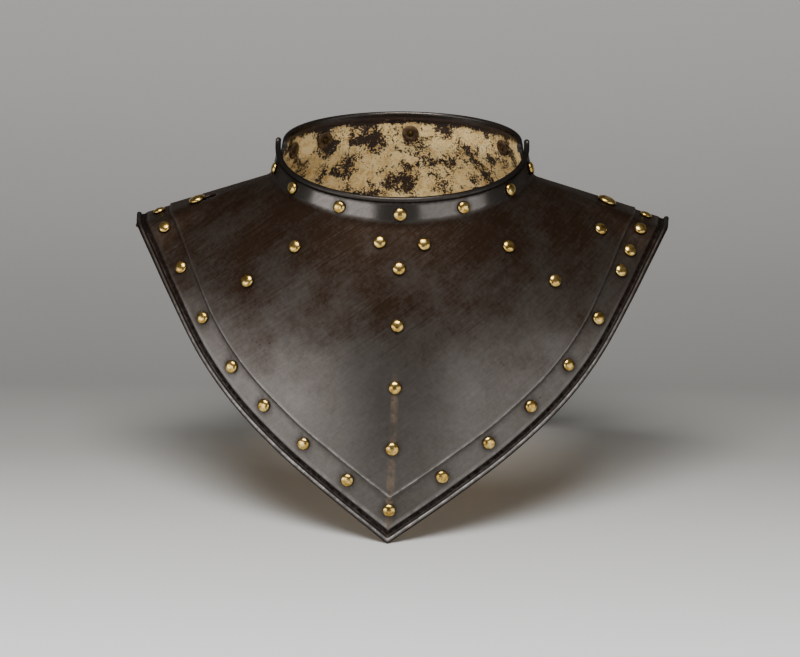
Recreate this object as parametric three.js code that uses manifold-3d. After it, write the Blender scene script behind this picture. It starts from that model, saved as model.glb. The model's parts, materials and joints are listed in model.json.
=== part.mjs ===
// Steel gorget: a front and a back plate, each raised in one with half of a low collar,
// joined over the shoulders by a pivot rivet and a locking stud, and set with domed brass rivets.
// Millimetres, +Z up. The front looks towards -Y, and +X is the wearer's left.
import * as THREE from 'three';
import { mergeVertices } from 'three/addons/utils/BufferGeometryUtils.js';
import Module from 'manifold-3d';

const wasm = await Module();
wasm.setup();

// Plates
const steel = 1.4; // thickness of both plates
const halfWidth = 154; // neck axis to shoulder tip
const frontReach = 122; // neck axis to the point of the front plate
const backReach = 92; // neck axis to the straight lower edge of the back plate
const shoulderSlope = THREE.MathUtils.degToRad(20); // fall of the shoulders
const fullness = 8; // how far the plates swell out between collar and edge
const plateGap = 1.6; // air between the two plates where they overlap
const backPoke = 0.5; // how far the back plate shows past the shoulder tips
const tipDrift = 5.6; // the point lies this far off the middle, as hammered
const footTrim = 0.4; // filed off the lowest edges, so that they stand flat

// Collar
const baseHalf = 74.6; // half width at the foot of the collar
const baseFront = 70; // neck axis to the foot of the collar, in front
const baseBack = 64; // the same behind
const baseSideZ = 180; // height of the collar's foot over the table, at the sides
const footDip = 10.5; // how much lower it is in front
const baseFrontZ = baseSideZ - footDip;
const baseBackZ = baseSideZ; // it runs level behind
const collarLean = 4.3; // how much each side of the collar draws in to the rim
const collarLeanFront = 3; // the same in front
const collarLeanBack = 4; // the same behind
const rimRise = 21; // collar height at the sides
const rimRiseFront = 15.3; // collar height in front
const rimRiseBack = 23; // collar height behind
const footFall = 2; // how the collar's foot runs from the sides to the middle, as a power
const rimFall = 0.6; // the same for the rims, whose height changes most at the sides
const collarGap = 0.9; // air between the two halves of the collar
const creaseRadius = 3.5; // soft bend where collar meets plate

// Edges
const border = 21; // width of the sunk border round each plate
const stepDrop = 1; // how far the border lies below the field
const stepRun = 1; // width of the step
const rollRadius = 1.5; // turned edge of the front plate
const backRollRadius = 1.2; // turned edge of the back plate
const grooveWidth = 3.4; // groove inside the turned edge
const grooveDepth = 0.5;
const rimRollRadius = 1.6; // turned rim of the front collar
const hemDepth = 5; // rim of the back collar, folded flat inwards
const hemThickness = 1.2;

// Rivets and fastenings
const rivetHeadRadius = 3.7;
const rivetHeadHeight = 2.4;
const rivetShankRadius = 1.5;
const rivetBand = 14; // border rivets from the edge
const holeClearance = 0.3;
const seatGap = 0.35; // under each rivet head
const washerRadius = 5;
const washerThickness = 0.8;
const fasteningInset = 37; // pivot and stud from the shoulder tips
const pivotY = 2;
const studY = -4;
const pivotHeadRadius = 5.5;
const pivotHeadHeight = 3;
const pivotShankRadius = 2.4;
const studHeadRadius = 4.9;
const studHeadHeight = 2.8;
const studShankRadius = 2;
const studSeatGap = 0.45; // the stud's head sinks a little as the plates part
const innerHeadRadius = 4;
const innerHeadHeight = 1.1;
const spacerRadius = 4.6;
const keyholeRadius = 4.4; // round end of the keyhole
const keyholeReach = 6.6; // from the stud to the middle of the round end
const slotReach = 0.2; // the keyhole's slot runs back past the rear edge, as a share of frontReach
const tongueMargin = 12; // metal left round the pivot on the back plate

// Fineness of the faceted solids
const spokesPerSide = 16;
const backSpokesPerSide = 12;
const rivetSides = 8;

// Colours
const steelColour = 0x4a4542;
const brassColour = 0xb8924a;

// Outline of the front plate from its point to the shoulder end, as shares:
// along the edge, of halfWidth, of frontReach, of the shoulder's height,
// of a quarter turn round the collar, and of the fullness
const frontOutline = [
  { along: 0.0, side: 0.0, reach: 1.0, rise: 0.0, turn: 0.0, swell: 0.9 },
  { along: 0.16, side: 0.228, reach: 0.914, rise: 0.159, turn: 0.194, swell: 0.9 },
  { along: 0.31, side: 0.428, reach: 0.806, rise: 0.303, turn: 0.378, swell: 0.92 },
  { along: 0.47, side: 0.619, reach: 0.652, rise: 0.468, turn: 0.556, swell: 0.95 },
  { along: 0.59, side: 0.737, reach: 0.525, rise: 0.607, turn: 0.673, swell: 0.95 },
  { along: 0.73, side: 0.85, reach: 0.361, rise: 0.788, turn: 0.793, swell: 0.75 },
  { along: 0.83, side: 0.922, reach: 0.23, rise: 0.909, turn: 0.876, swell: 0.35 },
  { along: 0.92, side: 0.985, reach: 0.078, rise: 1.005, turn: 0.96, swell: 0.0 },
  { along: 1.0, side: 1.0, reach: -0.14, rise: 1.0, turn: 1.017, swell: 0.0 },
];

// The same for the back plate, from the middle of its straight lower edge
const backOutline = [
  { along: 0.0, side: 0.0, reach: 1.0, rise: 0.0, turn: 0.0, swell: 0.5 },
  { along: 0.17, side: 0.291, reach: 0.985, rise: 0.0, turn: 0.293, swell: 0.6 },
  { along: 0.27, side: 0.44, reach: 0.92, rise: 0.085, turn: 0.431, swell: 0.7 },
  { along: 0.41, side: 0.602, reach: 0.78, rise: 0.285, turn: 0.581, swell: 0.9 },
  { along: 0.585, side: 0.757, reach: 0.6, rise: 0.54, turn: 0.72, swell: 1.0 },
  { along: 0.745, side: 0.89, reach: 0.4, rise: 0.79, turn: 0.827, swell: 0.7 },
  { along: 0.84, side: 0.965, reach: 0.245, rise: 0.935, turn: 0.9, swell: 0.3 },
  { along: 0.9, side: 0.994, reach: 0.14, rise: 1.0, turn: 0.945, swell: 0.0 },
  { along: 1.0, side: 1.0, reach: -0.1, rise: 1.0, turn: 1.085, swell: 0.0 },
];

// Rivets of the front plate: round the half outline, and down from collar foot to edge
const fieldRivets = [
  { name: 'field_rivet_inner_right', round: -0.075, down: 0.06 },
  { name: 'field_rivet_inner_left', round: 0.09, down: 0.068 },
  { name: 'field_rivet_mid_right', round: -0.39, down: 0.186 },
  { name: 'field_rivet_mid_left', round: 0.405, down: 0.186 },
  { name: 'field_rivet_outer_right', round: -0.513, down: 0.47 },
  { name: 'field_rivet_outer_left', round: 0.526, down: 0.47 },
  { name: 'field_rivet_shoulder_left', round: 0.805, down: 0.572 },
  { name: 'keel_rivet_1', round: 0, down: 0.136 },
  { name: 'keel_rivet_2', round: 0, down: 0.316 },
  { name: 'keel_rivet_3', round: 0, down: 0.509 },
  { name: 'keel_rivet_4', round: 0, down: 0.7 },
  { name: 'keel_rivet_5', round: 0, down: 0.893 },
];
const collarRivets = [-0.86, -0.54, -0.252, 0, 0.261, 0.545, 0.89];
const borderRivetsRight = [0.115, 0.24, 0.363, 0.478, 0.612, 0.751, 0.876, 0.972];
const borderRivetsLeft = [0.129, 0.249, 0.368, 0.492, 0.62, 0.753, 0.818, 0.884, 0.972];
const collarRivetHeight = 0.38; // share of the collar's height

// Rivets of the back plate
const backCollarRivets = [-0.62, -0.3, 0.02, 0.47];
const backCollarRivetHeight = 0.42;
const backBorderRivets = [-0.76, -0.58, -0.4, -0.2, 0, 0.2, 0.4, 0.58, 0.76];

const slopeTan = Math.tan(shoulderSlope);
const fasteningSide = halfWidth - fasteningInset;
const nest = steel + collarGap; // the back half of the collar stands inside the front half
const plateDrop = (steel + plateGap) / Math.cos(shoulderSlope);
const centreY = (frontReach - backReach) / 2; // brings the origin under the middle of the outline

// One plate's own measures, written the same way for both halves
const frontPlate = {
  facing: -1,
  outline: frontOutline,
  halfWidth,
  reach: frontReach,
  base: { half: baseHalf, reach: baseFront, sideZ: baseSideZ, middleZ: baseFrontZ, fall: footFall },
  rim: {
    half: baseHalf - collarLean,
    reach: baseFront - collarLeanFront,
    sideZ: baseSideZ + rimRise,
    middleZ: baseFrontZ + rimRiseFront,
    fall: rimFall,
  },
  drift: tipDrift,
};
const backBaseHalf = baseHalf - nest;
const backSideZ = baseSideZ + nest * slopeTan - plateDrop;
const backPlate = {
  facing: 1,
  outline: backOutline,
  halfWidth: halfWidth + backPoke,
  reach: backReach,
  base: { half: backBaseHalf, reach: baseBack, sideZ: backSideZ, middleZ: baseBackZ, fall: footFall },
  rim: {
    half: backBaseHalf - collarLean,
    reach: baseBack - collarLeanBack,
    sideZ: baseSideZ + rimRise,
    middleZ: baseBackZ + rimRiseBack,
    fall: rimFall,
  },
  drift: 0,
};

// Smooth curve through one column of an outline table, which never runs past its rows
function columnAt(rows, along, column) {
  const last = rows.length - 1;
  const a = THREE.MathUtils.clamp(along, rows[0].along, rows[last].along);
  let i = 0;
  while (i < last - 1 && a > rows[i + 1].along) i += 1;
  const secant = (k) => (rows[k + 1][column] - rows[k][column]) / (rows[k + 1].along - rows[k].along);
  const slopeAt = (k) => {
    if (k === 0) return secant(0);
    if (k === last) return secant(last - 1);
    const before = secant(k - 1);
    const after = secant(k);
    return before * after > 0 ? (2 * before * after) / (before + after) : 0;
  };
  const run = rows[i + 1].along - rows[i].along;
  const u = (a - rows[i].along) / run;
  const from = rows[i][column];
  const to = rows[i + 1][column];
  return (
    (2 * u ** 3 - 3 * u ** 2 + 1) * from +
    (u ** 3 - 2 * u ** 2 + u) * slopeAt(i) * run +
    (3 * u ** 2 - 2 * u ** 3) * to +
    (u ** 3 - u ** 2) * slopeAt(i + 1) * run
  );
}

// A point on one of the collar's two lines, its foot or its rim
function collarLine(plate, line, turn) {
  const angle = (turn * Math.PI) / 2;
  const fall = Math.max(0, Math.cos(angle)) ** line.fall;
  return new THREE.Vector3(
    line.half * Math.sin(angle),
    plate.facing * line.reach * Math.cos(angle),
    line.sideZ - (line.sideZ - line.middleZ) * fall,
  );
}

// One line from the rim over the collar's foot to the edge, at a share round the half outline
function spokeAt(plate, round) {
  const along = Math.abs(round);
  const mirror = round < 0 ? -1 : 1;
  const turn = columnAt(plate.outline, along, 'turn');
  const foot = collarLine(plate, plate.base, turn);
  const rim = collarLine(plate, plate.rim, turn);
  const tipZ = plate.base.sideZ - (plate.halfWidth - plate.base.half) * slopeTan;
  const edge = new THREE.Vector3(
    plate.halfWidth * columnAt(plate.outline, along, 'side'),
    plate.facing * plate.reach * columnAt(plate.outline, along, 'reach'),
    tipZ * columnAt(plate.outline, along, 'rise'),
  );
  const span = edge.clone().sub(foot);
  const level = Math.hypot(span.x, span.y);
  const outward = new THREE.Vector3((-span.x * span.z) / level, (-span.y * span.z) / level, level).normalize();
  const swell = fullness * columnAt(plate.outline, along, 'swell');
  return { plate, mirror, foot, rim, edge, span, outward, swell };
}

// A point on a spoke's own two lines: collar from -1 to 0, plate from 0 to 1
function onSpoke(spoke, down) {
  const { plate, foot, rim, span, outward, swell } = spoke;
  let point;
  if (down < 0) {
    point = foot.clone().lerp(rim, -down);
  } else {
    point = foot.clone().addScaledVector(span, down);
    point.addScaledVector(outward, swell * 4 * down * (1 - down));
  }
  point.x *= spoke.mirror;
  const low = Math.max(0, 1 - point.z / plate.base.middleZ);
  point.x -= plate.drift * low ** 1.5 * Math.max(0, 1 - Math.abs(point.x) / plate.halfWidth);
  return point;
}

// The outer face: the same, with the bend at the collar's foot rounded
function facePoint(plate, round, down) {
  const spoke = spokeAt(plate, round);
  const wall = spoke.rim.distanceTo(spoke.foot);
  const length = spoke.span.length();
  const distance = down < 0 ? down * wall : down * length;
  if (Math.abs(distance) >= creaseRadius) return onSpoke(spoke, down);
  const share = (distance + creaseRadius) / (2 * creaseRadius);
  const above = onSpoke(spoke, -creaseRadius / wall);
  const middle = onSpoke(spoke, 0);
  const below = onSpoke(spoke, creaseRadius / length);
  return above
    .multiplyScalar((1 - share) ** 2)
    .addScaledVector(middle, 2 * share * (1 - share))
    .addScaledVector(below, share ** 2);
}

function faceNormal(plate, round, down) {
  const small = 0.002;
  const clampRound = (r) => THREE.MathUtils.clamp(r, -1, 1);
  const across = facePoint(plate, clampRound(round + small), down);
  across.sub(facePoint(plate, clampRound(round - small), down));
  const along = facePoint(plate, round, down + small).sub(facePoint(plate, round, down - small));
  return along.cross(across).multiplyScalar(-plate.facing).normalize();
}

// Share down the spoke of a place that lies square to the edge, so far in from it
function downFromEdge(plate, round, fromEdge) {
  const small = 0.004;
  const along = THREE.MathUtils.clamp(Math.abs(round), small, 1 - small);
  const before = spokeAt(plate, along - small);
  const after = spokeAt(plate, along + small);
  const edgeway = after.edge.sub(before.edge).normalize();
  const { span } = spokeAt(plate, round);
  const length = span.length();
  const cosine = span.dot(edgeway) / length;
  return 1 - fromEdge / (length * Math.sqrt(1 - cosine ** 2));
}

// The stations of a plate's cross-section, rim to edge: outer and inner heights over the field
const diagonal = Math.SQRT1_2;

function rimStations(plate) {
  if (plate.facing > 0) {
    const inner = -steel - hemThickness;
    return [
      { below: 0.4, outer: 0, inner },
      { below: hemDepth - 0.4, outer: 0, inner },
      { below: hemDepth, outer: 0, inner: -steel },
    ];
  }
  const r = rimRollRadius;
  const centre = r - steel;
  return [
    { below: r * (1 - diagonal), outer: centre + r * diagonal, inner: -steel },
    { below: r, outer: centre + r, inner: -steel },
    { below: r * (1 + diagonal), outer: centre + r * diagonal, inner: -steel },
    { below: r * 2, outer: 0, inner: -steel },
  ];
}

function edgeStations(plate) {
  const r = plate.facing > 0 ? backRollRadius : rollRadius;
  const band = -stepDrop;
  const inner = band - steel;
  const centre = inner + r;
  return [
    { fromEdge: border, outer: 0, inner: -steel },
    { fromEdge: border - stepRun, outer: band, inner },
    { fromEdge: r * 2 + grooveWidth, outer: band, inner },
    { fromEdge: r * 2 + grooveWidth / 2, outer: band - grooveDepth, inner },
    { fromEdge: r * 2, outer: band - grooveDepth / 2, inner },
    { fromEdge: r * (1 + diagonal), outer: centre + r * diagonal, inner },
    { fromEdge: r, outer: centre + r, inner },
    { fromEdge: r * (1 - diagonal), outer: centre + r * diagonal, inner: centre - r * diagonal },
  ];
}

const fieldShares = [0.2, 0.4, 0.6, 0.8];

function stationsAt(plate, round) {
  const spoke = spokeAt(plate, round);
  const wall = spoke.rim.distanceTo(spoke.foot);
  const length = spoke.span.length();
  const rimHalfThickness = plate.facing > 0 ? -(steel + hemThickness) / 2 : rimRollRadius - steel;
  const edgeR = plate.facing > 0 ? backRollRadius : rollRadius;
  const pairs = rimStations(plate).map((s) => ({ down: -1 + s.below / wall, outer: s.outer, inner: s.inner }));
  pairs.push({ down: -creaseRadius / wall, outer: 0, inner: -steel });
  pairs.push({ down: 0, outer: 0, inner: -steel });
  const fieldStart = creaseRadius / length;
  const fieldEnd = downFromEdge(plate, round, border);
  pairs.push({ down: fieldStart, outer: 0, inner: -steel });
  for (const share of fieldShares) {
    pairs.push({ down: fieldStart + (fieldEnd - fieldStart) * share, outer: 0, inner: -steel });
  }
  for (const s of edgeStations(plate)) {
    pairs.push({ down: downFromEdge(plate, round, s.fromEdge), outer: s.outer, inner: s.inner });
  }
  return {
    pairs,
    rimTip: { down: -1, height: rimHalfThickness },
    edgeTip: { down: 1, height: -stepDrop - steel + edgeR },
  };
}

// The closed cross-section of a plate along one spoke
function sectionAt(plate, round) {
  const { pairs, rimTip, edgeTip } = stationsAt(plate, round);
  const lift = (down, height) =>
    facePoint(plate, round, down).addScaledVector(faceNormal(plate, round, down), height);
  const outer = pairs.map((s) => lift(s.down, s.outer));
  const inner = pairs.map((s) => lift(s.down, s.inner));
  return [lift(rimTip.down, rimTip.height), ...outer, lift(edgeTip.down, edgeTip.height), ...inner.reverse()];
}

// Sections joined into one closed shell, with both ends capped
function loftedPlate(plate, perSide) {
  const sections = [];
  for (let k = -perSide; k <= perSide; k += 1) sections.push(sectionAt(plate, k / perSide));
  const size = sections[0].length;
  const positions = sections.flat().flatMap((p) => [p.x, p.y, p.z]);
  const triangles = [];
  const quad = (a, b, c, d) => triangles.push(a, b, c, a, c, d);
  for (let k = 0; k < sections.length - 1; k += 1) {
    for (let i = 0; i < size; i += 1) {
      const next = (i + 1) % size;
      quad(k * size + i, (k + 1) * size + i, (k + 1) * size + next, k * size + next);
    }
  }
  const pairCount = size / 2 - 1;
  for (const [start, flip] of [[0, false], [(sections.length - 1) * size, true]]) {
    const cap = [];
    for (let i = 0; i < pairCount - 1; i += 1) {
      const a = start + 1 + i;
      const b = start + size - 1 - i;
      cap.push([a, a + 1, b - 1], [a, b - 1, b]);
    }
    cap.push([start, start + 1, start + size - 1]);
    cap.push([start + pairCount, start + pairCount + 1, start + pairCount + 2]);
    for (const [a, b, c] of cap) triangles.push(a, flip ? c : b, flip ? b : c);
  }
  if (plate.facing < 0) {
    for (let i = 0; i < triangles.length; i += 3) {
      const swap = triangles[i + 1];
      triangles[i + 1] = triangles[i + 2];
      triangles[i + 2] = swap;
    }
  }
  const geometry = new THREE.BufferGeometry();
  geometry.setAttribute('position', new THREE.Float32BufferAttribute(positions, 3));
  geometry.setIndex(triangles);
  return geometry;
}

// Solids for cutting
function solidOf(geometry) {
  const bare = geometry.clone();
  for (const name of Object.keys(bare.attributes)) if (name !== 'position') bare.deleteAttribute(name);
  const merged = mergeVertices(bare, 1e-4);
  const mesh = new wasm.Mesh({
    numProp: 3,
    vertProperties: new Float32Array(merged.attributes.position.array),
    triVerts: new Uint32Array(merged.index.array),
  });
  return new wasm.Manifold(mesh);
}

function geometryOf(solid) {
  const mesh = solid.getMesh();
  const geometry = new THREE.BufferGeometry();
  geometry.setAttribute('position', new THREE.Float32BufferAttribute(mesh.vertProperties, 3));
  geometry.setIndex(Array.from(mesh.triVerts));
  return geometry;
}

const upY = new THREE.Vector3(0, 1, 0);

// Turns a shape made round +Y so that it stands square on a face
function seated(geometry, seat) {
  const turn = new THREE.Quaternion().setFromUnitVectors(upY, seat.normal);
  const place = new THREE.Matrix4().compose(seat.point, turn, new THREE.Vector3(1, 1, 1));
  return geometry.applyMatrix4(place);
}

const drillLength = 12;

function drill(radius, seat) {
  const drillBit = new THREE.CylinderGeometry(radius, radius, drillLength, rivetSides);
  return solidOf(seated(drillBit, seat));
}

// A straight slot between two seats on the shoulder
function slotCut(width, from, to) {
  const way = to.clone().sub(from.point);
  const length = way.length();
  const box = new THREE.BoxGeometry(width, drillLength, length);
  const side = new THREE.Vector3().crossVectors(from.normal, way.normalize());
  const basis = new THREE.Matrix4().makeBasis(side, from.normal, way);
  basis.setPosition(from.point.clone().addScaledVector(way, length / 2));
  return solidOf(box.applyMatrix4(basis));
}

function seatOn(plate, round, down, height = 0) {
  const normal = faceNormal(plate, round, down);
  return { point: facePoint(plate, round, down).addScaledVector(normal, height), normal };
}

// A place on the flat of a shoulder, given by its distance from the middle and its y
function shoulderSeat(side, mirror, y) {
  const normal = new THREE.Vector3(mirror * Math.sin(shoulderSlope), 0, Math.cos(shoulderSlope));
  const point = new THREE.Vector3(mirror * side, y, baseSideZ - (side - baseHalf) * slopeTan);
  return { point, normal };
}

// Seats of every rivet
const frontSeats = [];
collarRivets.forEach((round, i) => {
  frontSeats.push({ name: `collar_rivet_${i + 1}`, seat: seatOn(frontPlate, round, -collarRivetHeight) });
});
for (const { name, round, down } of fieldRivets) {
  const onBand = down > downFromEdge(frontPlate, round, border);
  frontSeats.push({ name, seat: seatOn(frontPlate, round, down, onBand ? -stepDrop : 0) });
}
for (const [side, list, mirror] of [['right', borderRivetsRight, -1], ['left', borderRivetsLeft, 1]]) {
  list.forEach((round, i) => {
    const down = downFromEdge(frontPlate, round, rivetBand);
    const seat = seatOn(frontPlate, mirror * round, down, -stepDrop);
    frontSeats.push({ name: `border_rivet_${side}_${i + 1}`, seat });
  });
}

const backSeats = [];
const washerSeats = [];
backCollarRivets.forEach((round, i) => {
  const seat = seatOn(backPlate, round, -backCollarRivetHeight);
  backSeats.push({ name: `back_collar_rivet_${i + 1}`, seat, shank: steel + washerThickness * 2 });
  washerSeats.push({ name: `back_collar_washer_${i + 1}`, seat });
});
backBorderRivets.forEach((round, i) => {
  const down = downFromEdge(backPlate, Math.abs(round), rivetBand);
  const seat = seatOn(backPlate, round, down, -stepDrop);
  backSeats.push({ name: `back_border_rivet_${i + 1}`, seat });
});

const pivotSeat = shoulderSeat(fasteningSide, 1, pivotY);
const studSeat = shoulderSeat(fasteningSide, -1, studY);
const lobeSeat = shoulderSeat(fasteningSide - keyholeReach, -1, studY);

// Everything below this height is filed away, so that the lowest edges stand flat
function levelledFoot(solid) {
  const tall = 20;
  const wide = halfWidth * 3;
  const file = new THREE.BoxGeometry(wide, wide, tall).translate(0, 0, footTrim - tall / 2);
  return solid.subtract(solidOf(file));
}

function withHoles(solid, seats, radius) {
  return seats.reduce((body, { seat }) => body.subtract(drill(radius, seat)), solid);
}

function makeFrontPlate() {
  let body = solidOf(loftedPlate(frontPlate, spokesPerSide));
  body = withHoles(body, frontSeats, rivetShankRadius + holeClearance);
  body = body.subtract(drill(pivotShankRadius + holeClearance, pivotSeat));
  const slotWidth = (studShankRadius + holeClearance) * 2;
  body = body.subtract(drill(studShankRadius + holeClearance, studSeat));
  body = body.subtract(drill(keyholeRadius, lobeSeat));
  body = body.subtract(slotCut(slotWidth, studSeat, lobeSeat.point));
  const behind = studSeat.point.clone();
  behind.y = frontReach * slotReach;
  body = body.subtract(slotCut(slotWidth, studSeat, behind));
  return levelledFoot(body);
}

// What the outer corner of the back plate's shoulder loses, so that it can turn under the front plate
function tongueWaste(mirror) {
  const outer = halfWidth;
  const arcEnd = Math.PI / 3;
  const shape = new THREE.Shape();
  shape.moveTo(0, -tongueMargin);
  shape.absarc(0, 0, tongueMargin, -Math.PI / 2, arcEnd, false);
  shape.lineTo(outer, tongueMargin * Math.sin(arcEnd));
  shape.lineTo(outer, -tongueMargin * 3);
  shape.lineTo(0, -tongueMargin * 3);
  const depth = drillLength * 2;
  const waste = new THREE.ExtrudeGeometry(shape, { depth, bevelEnabled: false, curveSegments: 5 });
  waste.translate(0, 0, -depth / 2);
  const tilt = new THREE.Matrix4().makeRotationY(shoulderSlope);
  waste.applyMatrix4(tilt);
  waste.translate(pivotSeat.point.x, mirror > 0 ? pivotY : studY, pivotSeat.point.z);
  let solid = solidOf(waste);
  if (mirror < 0) solid = solid.mirror([1, 0, 0]);
  return solid;
}

function makeBackPlate() {
  let body = solidOf(loftedPlate(backPlate, backSpokesPerSide));
  body = withHoles(body, backSeats, rivetShankRadius + holeClearance);
  body = body.subtract(drill(pivotShankRadius + holeClearance, pivotSeat));
  body = body.subtract(drill(studShankRadius + holeClearance, studSeat));
  body = body.subtract(tongueWaste(1)).subtract(tongueWaste(-1));
  return levelledFoot(body);
}

// Turned pieces, given as radius and height over the face that they stand on
const turned = (profile) => new THREE.LatheGeometry(profile.map(([r, h]) => new THREE.Vector2(r, h)), rivetSides);

function domeProfile(radius, height, from) {
  return [
    [radius, from],
    [radius * 0.8, from + height * 0.62],
    [0, from + height],
  ];
}

function rivetGeometry(shank = steel) {
  return turned([
    [0, -shank],
    [rivetShankRadius, -shank],
    [rivetShankRadius, seatGap],
    ...domeProfile(rivetHeadRadius, rivetHeadHeight, seatGap),
  ]);
}

function washerGeometry() {
  const top = -steel - seatGap * 2;
  const hole = rivetShankRadius + holeClearance;
  return turned([
    [hole, top],
    [hole, top - washerThickness],
    [washerRadius, top - washerThickness],
    [washerRadius, top],
    [hole, top],
  ]);
}

// Depths under the front plate's outer face, on the shoulders
const frontInner = -steel;
const backOuter = -steel - plateGap;
const backInner = backOuter - steel;
const innerHeadTop = backInner - seatGap;

function pivotGeometry() {
  return turned([
    [0, innerHeadTop - innerHeadHeight],
    [innerHeadRadius * 0.7, innerHeadTop - innerHeadHeight],
    [innerHeadRadius, innerHeadTop],
    [pivotShankRadius, innerHeadTop],
    [pivotShankRadius, seatGap],
    ...domeProfile(pivotHeadRadius, pivotHeadHeight, seatGap),
  ]);
}

function spacerGeometry() {
  const hole = pivotShankRadius + holeClearance;
  return turned([
    [hole, backOuter + seatGap],
    [spacerRadius, backOuter + seatGap],
    [spacerRadius, frontInner - seatGap],
    [hole, frontInner - seatGap],
    [hole, backOuter + seatGap],
  ]);
}

function studGeometry() {
  return turned([
    [0, innerHeadTop - innerHeadHeight],
    [innerHeadRadius * 0.7, innerHeadTop - innerHeadHeight],
    [innerHeadRadius, innerHeadTop],
    [studShankRadius, innerHeadTop],
    [studShankRadius, studSeatGap],
    ...domeProfile(studHeadRadius, studHeadHeight, studSeatGap),
  ]);
}

// The assembled gorget
const steelFinish = new THREE.MeshStandardMaterial({ color: steelColour, roughness: 0.38, metalness: 0.9 });
const brassFinish = new THREE.MeshStandardMaterial({ color: brassColour, roughness: 0.3, metalness: 0.95 });

const gorget = new THREE.Group();
gorget.position.set(0, centreY, -footTrim);

function addPiece(name, geometry, finish, seat) {
  const piece = new THREE.Mesh(geometry, finish);
  piece.name = name;
  if (seat) {
    piece.position.copy(seat.point);
    piece.quaternion.setFromUnitVectors(upY, seat.normal);
  }
  gorget.add(piece);
}

addPiece('front_plate', geometryOf(makeFrontPlate()), steelFinish);
addPiece('back_plate', geometryOf(makeBackPlate()), steelFinish);
for (const { name, seat } of frontSeats) addPiece(name, rivetGeometry(), brassFinish, seat);
for (const { name, seat, shank } of backSeats) addPiece(name, rivetGeometry(shank), brassFinish, seat);
for (const { name, seat } of washerSeats) addPiece(name, washerGeometry(), steelFinish, seat);
addPiece('pivot_rivet', pivotGeometry(), brassFinish, pivotSeat);
addPiece('pivot_spacer', spacerGeometry(), brassFinish, pivotSeat);
addPiece('locking_stud', studGeometry(), brassFinish, studSeat);

export default gorget;
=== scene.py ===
import json
import math
import random
import bpy
import bmesh
from mathutils import Matrix, Vector, noise


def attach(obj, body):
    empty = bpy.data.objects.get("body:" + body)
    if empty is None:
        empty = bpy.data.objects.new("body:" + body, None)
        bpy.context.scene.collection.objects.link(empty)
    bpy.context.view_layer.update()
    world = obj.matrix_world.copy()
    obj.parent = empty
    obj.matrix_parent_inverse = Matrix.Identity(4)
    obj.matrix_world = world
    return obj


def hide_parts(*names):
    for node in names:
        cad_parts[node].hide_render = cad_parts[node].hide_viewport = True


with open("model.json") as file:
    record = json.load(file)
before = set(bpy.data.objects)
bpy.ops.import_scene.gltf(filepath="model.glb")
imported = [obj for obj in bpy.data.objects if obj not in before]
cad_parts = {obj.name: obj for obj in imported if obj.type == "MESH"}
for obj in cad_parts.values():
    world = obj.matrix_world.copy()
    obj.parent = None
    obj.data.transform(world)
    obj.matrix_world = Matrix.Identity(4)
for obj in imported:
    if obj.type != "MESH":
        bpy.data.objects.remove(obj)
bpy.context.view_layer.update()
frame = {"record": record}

random.seed(31)
mm = 0.001

# Sizes in millimetres, the same as the solids'
gorget = {
    "steel": 1.4,
    "halfWidth": 154.0,
    "frontReach": 122.0,
    "backReach": 92.0,
    "shoulderSlope": math.radians(20),
    "fullness": 8.0,
    "plateGap": 1.6,
    "backPoke": 0.5,
    "tipDrift": 5.6,
    "footTrim": 0.4,
}
collar = {
    "baseHalf": 74.6, "baseFront": 70.0, "baseBack": 64.0,
    "baseSideZ": 180.0, "baseFrontZ": 169.5, "baseBackZ": 180.0,
    "lean": 4.3, "leanFront": 3.0, "leanBack": 4.0,
    "rimRise": 21.0, "rimRiseFront": 15.3, "rimRiseBack": 23.0,
    "footFall": 2.0, "rimFall": 0.6,
    "gap": 0.9,
    "creaseRadius": 3.5,
}
edges = {
    "border": 21.0,
    "stepDrop": 1.0,
    "stepRun": 1.0,
    "rollRadius": 1.5,
    "backRollRadius": 1.2,
    "grooveWidth": 3.4,
    "grooveDepth": 0.5,
    "rimRollRadius": 1.6,
    "hemDepth": 5.0,
    "hemThickness": 1.2,
}
fineness = {
    "frontSpokes": 150,       # spokes on each side of the middle
    "backSpokes": 120,
    "fieldStations": 64,
    "domeSides": 28,
    "domeRings": 7,
    "headSides": 40,
    "ringSides": 36,
}

# Outlines: along the edge, of the half width, of the reach, of the shoulder's height,
# of a quarter turn round the collar, and of the fullness
frontOutline = [
    {"along": 0.0, "side": 0.0, "reach": 1.0, "rise": 0.0, "turn": 0.0, "swell": 0.9},
    {"along": 0.16, "side": 0.228, "reach": 0.914, "rise": 0.159, "turn": 0.194, "swell": 0.9},
    {"along": 0.31, "side": 0.428, "reach": 0.806, "rise": 0.303, "turn": 0.378, "swell": 0.92},
    {"along": 0.47, "side": 0.619, "reach": 0.652, "rise": 0.468, "turn": 0.556, "swell": 0.95},
    {"along": 0.59, "side": 0.737, "reach": 0.525, "rise": 0.607, "turn": 0.673, "swell": 0.95},
    {"along": 0.73, "side": 0.85, "reach": 0.361, "rise": 0.788, "turn": 0.793, "swell": 0.75},
    {"along": 0.83, "side": 0.922, "reach": 0.23, "rise": 0.909, "turn": 0.876, "swell": 0.35},
    {"along": 0.92, "side": 0.985, "reach": 0.078, "rise": 1.005, "turn": 0.96, "swell": 0.0},
    {"along": 1.0, "side": 1.0, "reach": -0.14, "rise": 1.0, "turn": 1.017, "swell": 0.0},
]
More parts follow.
